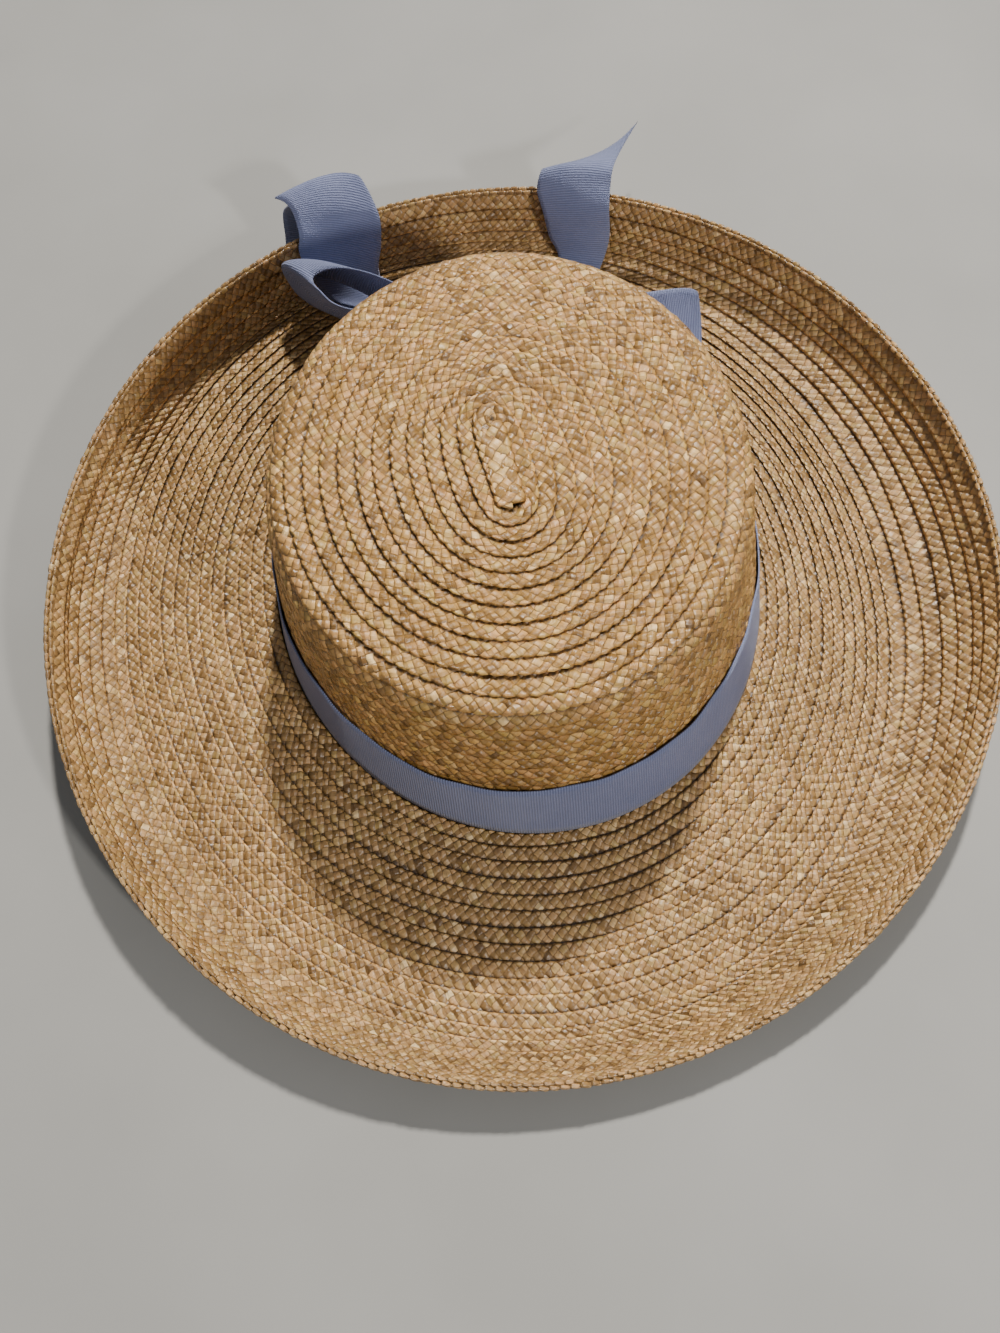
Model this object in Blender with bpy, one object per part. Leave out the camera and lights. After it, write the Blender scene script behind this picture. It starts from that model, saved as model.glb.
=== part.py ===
"""A wide hat of sewn straw braid, with an upturned brim, a ribbon band and a bow at the back.

Metres, +Z up, the bow towards +Y. The hat rests on the flat ring under its brim.
"""

import bpy
import bmesh
import numpy as np

# Driving dimensions
MM = 0.001
COLUMNS = 64
SHARP_ANGLE = np.radians(40.0)
STRAW_THICK = 2.0 * MM
RIBBON_THICK = 1.0 * MM
RIBBON_WIDTH = 31.0 * MM
GAP = 0.3 * MM

# Brim, upper surface: ovals from the crown out to the edge
BRIM_COLUMNS = ("half_width", "half_length", "centre_x", "centre_y", "height")
BRIM_OVALS = {
    "head_opening": (88.4, 97.9, 0.0, 8.5, 8.0),
    "beside_band": (94.5, 104.0, 0.0, 8.5, 7.4),
    "slope": (120.0, 131.0, -3.0, 5.5, 4.4),
    "rest_inner": (141.0, 155.0, -5.0, 3.0, 2.0),
    "rest_outer": (147.0, 162.0, -5.0, 3.0, 2.0),
}
RIM = {"half_width": 174.4, "half_length": 176.1, "centre_x": 0.5, "centre_y": 0.3}
# How far the rim leaves its oval: waves round the hat, and millimetres
RIM_WAVES = ((2, 1.6), (3, -0.8))
RIM_HEIGHTS = {"front": 14.0, "side": 28.0, "back": 27.0}
TURN_ANGLE = np.radians(75.0)
TURN_STEPS = 5

# Crown, outer surface: height, half width, half length, centre x and y, and skew of foot and shoulder
CROWN_FOOT = np.array([8.3, 90.4, 99.9, 0.0, 8.5, 0.0])
CROWN_SHOULDER = np.array([77.0, 81.2, 88.0, -2.2, 13.7, 2.0])
EDGE_RADIUS = 9.0
EDGE_STEPS = 4
TIP_RISE = 2.5
TIP_SHARES = (0.72, 0.42, 0.12)

# Band and bow
BAND_LOW = 9.2
KNOT = {"turn": np.radians(7.0), "half_turn": np.radians(7.0), "low": 9.4, "high": 37.5, "depth": 7.5}
# Outline of the knot from its lower to its upper edge: share of the half height, share of the depth
KNOT_OUTLINE = ((-1.0, 0.0), (-0.97, 0.6), (-0.6, 1.0), (0.6, 1.0), (0.97, 0.6), (1.0, 0.0))
KNOT_STATIONS = (-1.0, -0.8, -0.4, 0.0, 0.4, 0.8, 1.0)
KNOT_SIDE_FALL = 0.65
KNOT_SIDE_PINCH = 0.12
# Drop shape of a loop in plan: share of the way along it, and half its opening there
LOOP_SHAPE = ((0.0, 0.9), (0.12, 3.4), (0.32, 8.6), (0.55, 11.0), (0.76, 9.6), (0.9, 6.4), (0.975, 2.9))
LOOP_ROOT_SHARE = 0.72
LOOP_SPREAD_BY = 0.3
LOOP_FULL_GAP = 1.6
LOOP_END_SHIFT = 0.025
LOOPS = {
    "bow_loop_left": {
        "root": (-0.9, 111.6), "end": (-57.0, 148.0), "low_root": 13.0, "low_end": 8.5, "lean": -4.0,
    },
    "bow_loop_right": {
        "root": (22.8, 108.8), "end": (101.0, 99.0), "low_root": 13.0, "low_end": 8.0, "lean": -3.0,
    },
}

# Tails in plan, from the knot to the cut end: x and y of the left edge, then of the right edge
TAILS = {
    "bow_tail_left": (
        (-3.0, 113.0, 10.0, 113.4),
        (-27.0, 139.0, -4.0, 128.0),
        (-46.0, 153.0, -17.0, 140.0),
        (-53.0, 166.0, -21.5, 155.0),
        (-52.0, 184.0, -19.5, 176.0),
        (-53.0, 199.0, -18.0, 194.0),
        (-56.0, 212.0, -17.0, 213.0),
    ),
    "bow_tail_right": (
        (14.0, 112.6, 27.0, 110.6),
        (33.0, 128.0, 47.0, 108.5),
        (46.0, 136.5, 66.0, 114.0),
        (51.0, 150.0, 78.0, 134.0),
        (53.0, 164.0, 83.0, 158.0),
        (57.0, 182.0, 90.0, 184.0),
        (63.0, 199.0, 111.0, 213.0),
    ),
}
TAIL_STEPS = 22
TAIL_ACROSS = 5

# How a tail hangs over the rim: distance outside the rim line, and height there
DRAPE = (
    (-63.0, 8.3), (-45.0, 5.95), (-30.0, 4.2), (-21.0, 3.2), (-16.0, 3.6),
    (-12.0, 8.0), (-8.0, 19.5), (-4.0, 28.6), (1.0, 32.2), (8.0, 30.6),
    (17.0, 24.0), (27.0, 14.0), (36.0, 5.6), (46.0, 3.2), (70.0, 3.0),
)
DRAPE_STEPS = 200


def clear_scene():
    """Removes every object of the scene."""
    for obj in list(bpy.data.objects):
        bpy.data.objects.remove(obj, do_unlink=True)


def make_material(name, colour, roughness):
    """A plain Principled material."""
    material = bpy.data.materials.new(name)
    material.use_nodes = True
    shader = material.node_tree.nodes["Principled BSDF"]
    shader.inputs["Base Color"].default_value = (*colour, 1.0)
    shader.inputs["Roughness"].default_value = roughness
    shader.inputs["Metallic"].default_value = 0.0
    return material


def turns():
    """The angle of each column of an oval, from the back (+Y) towards +X."""
    return np.arange(COLUMNS) * 2 * np.pi / COLUMNS


def waves_at(angle, waves):
    """How far a ring stands outside its oval at an angle: the sum of its waves."""
    return sum(amount * np.sin(count * angle) for count, amount in waves)


def oval(half_width, half_length, centre_x, centre_y, height, waves=()):
    """A level oval ring in millimetres, with waves round it."""
    angle = turns()
    out = waves_at(angle, waves)
    return np.stack(
        [
            centre_x + (half_width + out) * np.sin(angle),
            centre_y + (half_length + out) * np.cos(angle),
            np.broadcast_to(height, angle.shape),
        ],
        axis=-1,
    )


def rim_height():
    """The height of the rim round the hat: the side value at +X and -X, blended to front and back."""
    forward = np.cos(turns())
    back = RIM_HEIGHTS["back"] * np.maximum(forward, 0) ** 2
    front = RIM_HEIGHTS["front"] * np.minimum(forward, 0) ** 2
    return back + front + RIM_HEIGHTS["side"] * (1 - forward**2)


def brim_upper():
    """The upper surface of the brim as rings: the level ovals, then an arc that curls up to the rim."""
    rings = [oval(**dict(zip(BRIM_COLUMNS, row))) for row in BRIM_OVALS.values()]
    start = rings[-1]
    end = oval(**RIM, height=rim_height(), waves=RIM_WAVES)
    for step in range(1, TURN_STEPS + 1):
        angle = TURN_ANGLE * step / TURN_STEPS
        out = np.sin(angle) / np.sin(TURN_ANGLE)
        up = (1 - np.cos(angle)) / (1 - np.cos(TURN_ANGLE))
        rings.append(start + (end - start) * np.array([out, out, up]))
    return np.array(rings)


def normals_of(grid, closed_rows):
    """Unit normals of a grid of points, from its two tangents. Columns close if closed_rows is set."""
    along = np.gradient(grid, axis=0)
    if closed_rows:
        across = np.roll(grid, -1, axis=1) - np.roll(grid, 1, axis=1)
    else:
        across = np.gradient(grid, axis=1)
    normal = np.cross(along, across)
    return normal / np.linalg.norm(normal, axis=-1, keepdims=True)


def brim_rings():
    """Rings round the wall of the brim: upper surface out, lower surface back, level where it rests."""
    upper = brim_upper()
    normal = normals_of(upper, True)
    normal *= np.sign(normal[..., 2:])
    normal[: len(BRIM_OVALS)] = (0, 0, 1)
    lower = upper - normal * STRAW_THICK / MM
    return np.concatenate([upper, lower[::-1]])


def wall_sizes(height):
    """Half width, half length, centre x and y, and skew of the crown's outer wall at a height."""
    share = (height - CROWN_FOOT[0]) / (CROWN_SHOULDER[0] - CROWN_FOOT[0])
    return (CROWN_FOOT + (CROWN_SHOULDER - CROWN_FOOT) * share)[1:]


def crown_oval(height, inset):
    """The oval of the crown's wall at a height between foot and shoulder, moved inwards by inset."""
    half_width, half_length, centre_x, centre_y, skew = wall_sizes(height)
    return oval(half_width - inset, half_length - inset, centre_x, centre_y, height, ((2, skew),))


def crown_skin(inset):
    """Rings of one side of the crown from the foot to the middle of the tip: wall, rounded edge, dome."""
    height, half_width, half_length, centre_x, centre_y, skew = CROWN_SHOULDER
    waves = ((2, skew),)
    rings = [crown_oval(level, inset) for level in (CROWN_FOOT[0], (CROWN_FOOT[0] + height) / 2)]
    radius = EDGE_RADIUS - inset
    for step in range(EDGE_STEPS + 1):
        angle = np.pi / 2 * step / EDGE_STEPS
        inwards = inset + radius * (1 - np.cos(angle))
        width = half_width - inwards
        length = half_length - inwards
        rings.append(oval(width, length, centre_x, centre_y, height + radius * np.sin(angle), waves))
    flat_width = half_width - EDGE_RADIUS
    flat_length = half_length - EDGE_RADIUS
    for share in TIP_SHARES:
        rise = radius + TIP_RISE * (1 - share**2)
        waves = ((2, skew * share),)
        level = height + rise
        rings.append(oval(flat_width * share, flat_length * share, centre_x, centre_y, level, waves))
    return np.array(rings)


def crown_rings():
    """Rings from the middle of the hollow down the inner side, round the foot and up the outer side."""
    inner = crown_skin(STRAW_THICK / MM)
    return np.concatenate([inner[::-1], crown_skin(0.0)])


def band_rings():
    """Four rings: the ribbon's inner and outer side at its lower and upper edge."""
    low = BAND_LOW
    high = BAND_LOW + RIBBON_WIDTH / MM
    near = -GAP / MM
    far = near - RIBBON_THICK / MM
    corners = ((low, near), (low, far), (high, far), (high, near))
    return np.array([crown_oval(height, inset) for height, inset in corners])


def wall_place(turn, height, out):
    """A point at an angle and a height, standing out from the crown's wall by out, in millimetres."""
    half_width, half_length, centre_x, centre_y, skew = wall_sizes(height)
    out = out + waves_at(turn, ((2, skew),))
    x = centre_x + (half_width + out) * np.sin(turn)
    y = centre_y + (half_length + out) * np.cos(turn)
    return np.array([x, y, height])


def knot_rings():
    """The knot as rings from side to side: a flat back that follows the band and a rounded front."""
    rings = []
    seat = (2 * GAP + RIBBON_THICK) / MM
    middle = (KNOT["low"] + KNOT["high"]) / 2
    for across in KNOT_STATIONS:
        turn = KNOT["turn"] + KNOT["half_turn"] * across
        depth = KNOT["depth"] * (1 - KNOT_SIDE_FALL * across**4)
        half = (KNOT["high"] - KNOT["low"]) / 2 * (1 - KNOT_SIDE_PINCH * across**2)
        rings.append([wall_place(turn, middle + half * up, seat + depth * out) for up, out in KNOT_OUTLINE])
    return np.array(rings)


def loop_rings(root, end, low_root, low_end, lean):
    """A closed ribbon standing on its edge, out along one side of a drop and back along the other."""
    root = np.array(root)
    end = np.array(end)
    ahead = end - root
    side = np.array([-ahead[1], ahead[0]]) / np.linalg.norm(ahead)
    sides = [(along, gap) for along, gap in LOOP_SHAPE]
    path = sides + [(1.0, 0.0)] + [(along, -gap) for along, gap in reversed(sides)]
    thick = RIBBON_THICK / MM
    rings = []
    for along, gap in path:
        low = low_root + (low_end - low_root) * along
        spread = min(1.0, along / LOOP_SPREAD_BY)
        high = low + RIBBON_WIDTH / MM * (LOOP_ROOT_SHARE + (1 - LOOP_ROOT_SHARE) * spread)
        outer = root + ahead * along + side * gap
        inwards = min(thick, abs(gap) * thick / LOOP_FULL_GAP)
        inner_along = along - LOOP_END_SHIFT * (along - 0.5)
        inner = root + ahead * inner_along + side * (gap - np.sign(gap) * inwards)
        tilt = side * lean * along
        corners = [(outer, low), (outer + tilt, high), (inner + tilt, high), (inner, low)]
        rings.append([(*place, height) for place, height in corners])
    return np.array(rings)


def beyond_rim(x, y):
    """How far a place in plan lies outside the rim's oval, in millimetres."""
    share = np.hypot(
        (x - RIM["centre_x"]) / RIM["half_width"], (y - RIM["centre_y"]) / RIM["half_length"]
    )
    return (share - 1) * (RIM["half_width"] + RIM["half_length"]) / 2


def smooth_curve(table, count):
    """Points at even steps of a smooth curve through the rows of a table (Catmull-Rom)."""
    rows = np.array(table, float)
    padded = np.concatenate([[2 * rows[0] - rows[1]], rows, [2 * rows[-1] - rows[-2]]])
    place = np.linspace(0, len(rows) - 1, count)
    first = np.minimum(place.astype(int), len(rows) - 2)
    t = (place - first)[:, None]
    before, start, stop, after = (padded[first + step] for step in range(4))
    return 0.5 * (
        2 * start
        + (stop - before) * t
        + (2 * before - 5 * start + 4 * stop - after) * t**2
        + (3 * start - before - 3 * stop + after) * t**3
    )


def tail_grid(table):
    """The middle surface of a tail: straight across from edge to edge, at the height of the drape."""
    edges = smooth_curve(table, TAIL_STEPS)
    share = np.linspace(0, 1, TAIL_ACROSS)[None, :, None]
    plan = edges[:, None, :2] * (1 - share) + edges[:, None, 2:] * share
    drape = smooth_curve(DRAPE, DRAPE_STEPS)
    height = np.interp(beyond_rim(plan[..., 0], plan[..., 1]), drape[:, 0], drape[:, 1])
    return np.concatenate([plan, height[..., None]], axis=-1)


def tail_rings(table):
    """Rings round a tail's thickness, one for each step along it."""
    grid = tail_grid(table)
    normal = normals_of(grid, False)
    upper = grid + normal * RIBBON_THICK / MM / 2
    lower = grid - normal * RIBBON_THICK / MM / 2
    return np.concatenate([upper, lower[:, ::-1]], axis=1)


def solid_from_rings(name, rings, wrap, material, shift):
    """Joins rings of points into one solid, which closes on itself with wrap or has two end caps."""
    mesh = bpy.data.meshes.new(name)
    shape = bmesh.new()
    verts = [[shape.verts.new((point + shift) * MM) for point in ring] for ring in rings]
    count = len(verts[0])
    pairs = list(zip(verts[:-1], verts[1:]))
    if wrap:
        pairs.append((verts[-1], verts[0]))
    else:
        shape.faces.new(verts[0])
        shape.faces.new(verts[-1])
    for first, second in pairs:
        for k in range(count):
            after = (k + 1) % count
            shape.faces.new((first[k], first[after], second[after], second[k]))
    bmesh.ops.recalc_face_normals(shape, faces=shape.faces)
    if shape.calc_volume(signed=True) < 0:
        bmesh.ops.reverse_faces(shape, faces=shape.faces)
    shape.to_mesh(mesh)
    shape.free()
    mesh.shade_smooth()
    mesh.set_sharp_from_angle(angle=SHARP_ANGLE)
    mesh.materials.append(material)
    obj = bpy.data.objects.new(name, mesh)
    bpy.context.scene.collection.objects.link(obj)
    return obj


def main():
    clear_scene()
    tip_straw = make_material("golden_straw", (0.515, 0.328, 0.141), 0.5)
    brim_straw = make_material("tan_straw", (0.546, 0.376, 0.223), 0.55)
    ribbon = make_material("blue_ribbon", (0.127, 0.162, 0.305), 0.7)

    pieces = {
        "crown": (crown_rings(), False, tip_straw),
        "brim": (brim_rings(), True, brim_straw),
        "hatband": (band_rings(), True, ribbon),
        "bow_knot": (knot_rings(), False, ribbon),
    }
    for name, sizes in LOOPS.items():
        pieces[name] = (loop_rings(**sizes), True, ribbon)
    for name, table in TAILS.items():
        pieces[name] = (tail_rings(table), False, ribbon)

    # The origin stands under the middle of the whole hat, on the surface that it rests on
    points = np.concatenate([rings.reshape(-1, 3) for rings, _, _ in pieces.values()])
    middle = (points.min(axis=0) + points.max(axis=0)) / 2
    shift = np.array([-middle[0], -middle[1], 0.0])
    for name, (rings, wrap, material) in pieces.items():
        solid_from_rings(name, rings, wrap, material, shift)
    print("shift of the hat, mm:", np.round(shift, 3))


main()
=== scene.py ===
# %% [markdown]
# # A hat of sewn straw braid with a ribbon bow
# The real hat is one long flat braid of straw, laid in a spiral and sewn row upon row. It starts
# as a long loop in the middle of the tip, turns over the edge, runs down the crown's wall and then
# out over the brim, which curls up at its edge. A blue grosgrain ribbon lies round the crown and is
# tied at the back. This lesson builds the straw in the same way: one flat strip carried along a
# spiral, so that its steps, crossings and gaps are real shapes that catch the light.

import bpy
import numpy as np
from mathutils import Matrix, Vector


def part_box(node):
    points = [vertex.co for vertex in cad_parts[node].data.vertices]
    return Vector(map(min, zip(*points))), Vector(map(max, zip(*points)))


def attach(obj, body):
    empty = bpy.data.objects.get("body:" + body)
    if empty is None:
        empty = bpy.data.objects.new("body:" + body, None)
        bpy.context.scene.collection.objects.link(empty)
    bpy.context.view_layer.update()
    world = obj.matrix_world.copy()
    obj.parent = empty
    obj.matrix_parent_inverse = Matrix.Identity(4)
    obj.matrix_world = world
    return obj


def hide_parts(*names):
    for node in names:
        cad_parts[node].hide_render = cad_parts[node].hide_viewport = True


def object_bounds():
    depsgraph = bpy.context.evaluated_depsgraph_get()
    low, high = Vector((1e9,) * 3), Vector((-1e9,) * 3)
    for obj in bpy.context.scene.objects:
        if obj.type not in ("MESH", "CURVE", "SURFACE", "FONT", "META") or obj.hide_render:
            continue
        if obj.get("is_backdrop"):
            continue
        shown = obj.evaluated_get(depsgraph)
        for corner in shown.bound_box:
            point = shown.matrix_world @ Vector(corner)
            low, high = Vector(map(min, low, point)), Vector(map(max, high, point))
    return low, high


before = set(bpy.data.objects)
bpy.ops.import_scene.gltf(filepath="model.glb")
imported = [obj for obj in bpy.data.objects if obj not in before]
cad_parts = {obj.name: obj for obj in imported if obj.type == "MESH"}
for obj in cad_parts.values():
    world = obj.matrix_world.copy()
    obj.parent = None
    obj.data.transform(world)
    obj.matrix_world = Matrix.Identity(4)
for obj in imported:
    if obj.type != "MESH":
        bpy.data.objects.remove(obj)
cad_low, cad_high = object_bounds()
print("CAD box, m:", list(cad_low), list(cad_high))

# %% [markdown]
# ## The hat's own measures
# The pieces are worked out in millimetres about the middle of the hat's head opening, because that
# is where a hat maker measures from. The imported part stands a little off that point, so its crown
# tells how far every piece has to be shifted.

# %% Millimetres to the frame
MM = 0.001
TIP_CENTRE_Y = 13.7
HEAD_CENTRE_Y = 8.5
crown_low, crown_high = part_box("crown")
SHIFT = np.array([(crown_low.x + crown_high.x) / 2, (crown_low.y + crown_high.y) / 2, 0.0]) / MM
SHIFT = SHIFT - np.array([0.0, HEAD_CENTRE_Y, 0.0])
print("shift, mm:", SHIFT.round(3))

# %% [markdown]
# ## From arrays to a mesh
# Each new piece is a closed outline carried along a path: `rings` holds one ring of points for each
# station. Neighbouring rings are joined by quads, and the two ends are closed, or joined to each
# other. A second array of the same shape carries the pattern's own place on the surface.


# %% A piece from rings
def make_piece(name, rings, cells, material, joined=False):
    """Station i and ring place j make one quad with i + 1 and j + 1. The ring closes on itself, and
    the stations either close too, where joined is set, or end in two caps."""
    stations, around = rings.shape[:2]
    index = np.arange(stations * around).reshape(stations, around)
    start = index if joined else index[:-1]
    after = np.roll(index, -1, axis=0) if joined else index[1:]
    quads = np.stack([start, np.roll(start, -1, 1), np.roll(after, -1, 1), after], -1).reshape(-1, 4)
    points = rings.reshape(-1, 3)
    corner = points[quads]
    volume = np.einsum("ij,ij->i", corner[:, 0], np.cross(corner[:, 1], corner[:, 2])).sum()
    volume += np.einsum("ij,ij->i", corner[:, 0], np.cross(corner[:, 2], corner[:, 3])).sum()
    faces = quads.tolist()
    if not joined:
        faces += [index[0][::-1].tolist(), index[-1].tolist()]
    if volume < 0:
        faces = [face[::-1] for face in faces]
    mesh = bpy.data.meshes.new(name)
    mesh.from_pydata(((points + SHIFT) * MM).tolist(), [], faces)
    layer = mesh.uv_layers.new(name="weave")
    order = np.empty(len(mesh.loops), np.int32)
    mesh.loops.foreach_get("vertex_index", order)
    layer.uv.foreach_set("vector", cells.reshape(-1, 2)[order].astype(np.float32).ravel())
    mesh.shade_smooth()
    mesh.materials.append(material)
    piece = bpy.data.objects.new(name, mesh)
    bpy.context.scene.collection.objects.link(piece)
    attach(piece, "root")
    triangles = sum(len(face) - 2 for face in faces)
    print(name, "triangles:", triangles)
    return piece


# %% [markdown]
# ## Nodes in short words
# A material's patterns are sums and products of a few numbers, so two small helpers add a node and
# join what feeds it.


# %% Node helpers
def join(tree, value, socket):
    """Links an output to the socket, or sets the socket to a plain value."""
    if isinstance(value, bpy.types.NodeSocket):
        tree.links.new(value, socket)
    else:
        socket.default_value = value


def maths(tree, operation, *values):
    """A Math node on one, two or three values."""
    node = tree.nodes.new("ShaderNodeMath")
    node.operation = operation
    for value, socket in zip(values, node.inputs):
        join(tree, value, socket)
    return node.outputs[0]


def blend_number(tree, share, first, second):
    """first where share is 0, second where it is 1."""
    node = tree.nodes.new("ShaderNodeMix")
    join(tree, share, node.inputs[0])
    join(tree, first, node.inputs[2])
    join(tree, second, node.inputs[3])
    return node.outputs[0]


def blend_colour(tree, kind, share, first, second):
    """Two colours mixed in the given way."""
    node = tree.nodes.new("ShaderNodeMix")
    node.data_type = "RGBA"
    node.blend_type = kind
    join(tree, share, node.inputs[0])
    join(tree, first, node.inputs[6])
    join(tree, second, node.inputs[7])
    return node.outputs[2]


def from_three(tree, x, y, z):
    """A vector from three numbers."""
    node = tree.nodes.new("ShaderNodeCombineXYZ")
    for value, socket in zip((x, y, z), node.inputs):
        join(tree, value, socket)
    return node.outputs[0]


def noise(tree, vector, scale, detail=2.0, rough=0.5):
    """A noise between 0 and 1 at the given place."""
    node = tree.nodes.new("ShaderNodeTexNoise")
    join(tree, vector, node.inputs["Vector"])
    node.inputs["Scale"].default_value = scale
    node.inputs["Detail"].default_value = detail
    node.inputs["Roughness"].default_value = rough
    return node.outputs["Fac"]


def random_of(tree, vector):
    """One random number for each whole vector."""
    node = tree.nodes.new("ShaderNodeTexWhiteNoise")
    node.noise_dimensions = "3D"
    join(tree, vector, node.inputs["Vector"])
    return node.outputs["Value"]


def ramp(tree, value, stops, smooth=False):
    """A colour ramp of (place, colour) stops."""
    node = tree.nodes.new("ShaderNodeValToRGB")
    band = node.color_ramp
    band.interpolation = "EASE" if smooth else "LINEAR"
    while len(band.elements) < len(stops):
        band.elements.new(1.0)
    for element, (place, colour) in zip(band.elements, stops):
        element.position = place
        element.color = (*colour, 1.0)
    join(tree, value, node.inputs[0])
    return node.outputs["Color"]


def step_between(tree, value, low, high):
    """0 below low, 1 above high, smooth between."""
    node = tree.nodes.new("ShaderNodeMapRange")
    node.interpolation_type = "SMOOTHSTEP"
    join(tree, value, node.inputs[0])
    node.inputs[1].default_value = low
    node.inputs[2].default_value = high
    return node.outputs[0]


def new_material(name):
    """An empty Principled material: the material, its tree and its shader."""
    material = bpy.data.materials.new(name)
    material.use_nodes = True
    tree = material.node_tree
    return material, tree, tree.nodes["Principled BSDF"]


def weave_place(tree):
    """The two numbers of the piece's own weave map."""
    place = tree.nodes.new("ShaderNodeUVMap")
    place.uv_map = "weave"
    parts = tree.nodes.new("ShaderNodeSeparateXYZ")
    tree.links.new(place.outputs[0], parts.inputs[0])
    return parts.outputs[0], parts.outputs[1]


# %% [markdown]
# ## Straw
# In the braid, flat splints run at plus and minus 45 degrees and pass over and under each other.
# With u along the strip and v across it, both counted in cells, `u + v` and `u - v` are the two
# directions: their whole parts number the splints, and their sum, odd or even, says which of the
# two lies on top. Each splint has its own tint, is a little arched, and dips where it goes under;
# its long sides get a painted highlight and its ends a painted shadow. One side of the strip is
# raised and catches the light, and a painted highlight runs along it. The other goes under the next
# row, where a crevice of painted shade runs, darkest once to a cell. The row table lightens and
# darkens the colour across one row, from the raised side to the sunken one, with a painted
# highlight by the raised side.


# %% Straw material
# Across one row: lighter by the raised side, a painted highlight, then darker a little further in, and
# lighter again towards the sunken side.
ROW_HIGHLIGHT_AND_TONES = (
    (0.18, (1.0, 1.0, 1.0)),
    (0.25, (1.16, 1.16, 1.14)),
    (0.29, (1.04, 1.03, 1.02)),
    (0.34, (0.80, 0.78, 0.75)),
    (0.43, (0.93, 0.92, 0.90)),
    (0.50, (1.06, 1.06, 1.05)),
    (0.56, (0.97, 0.96, 0.95)),
)


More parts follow.
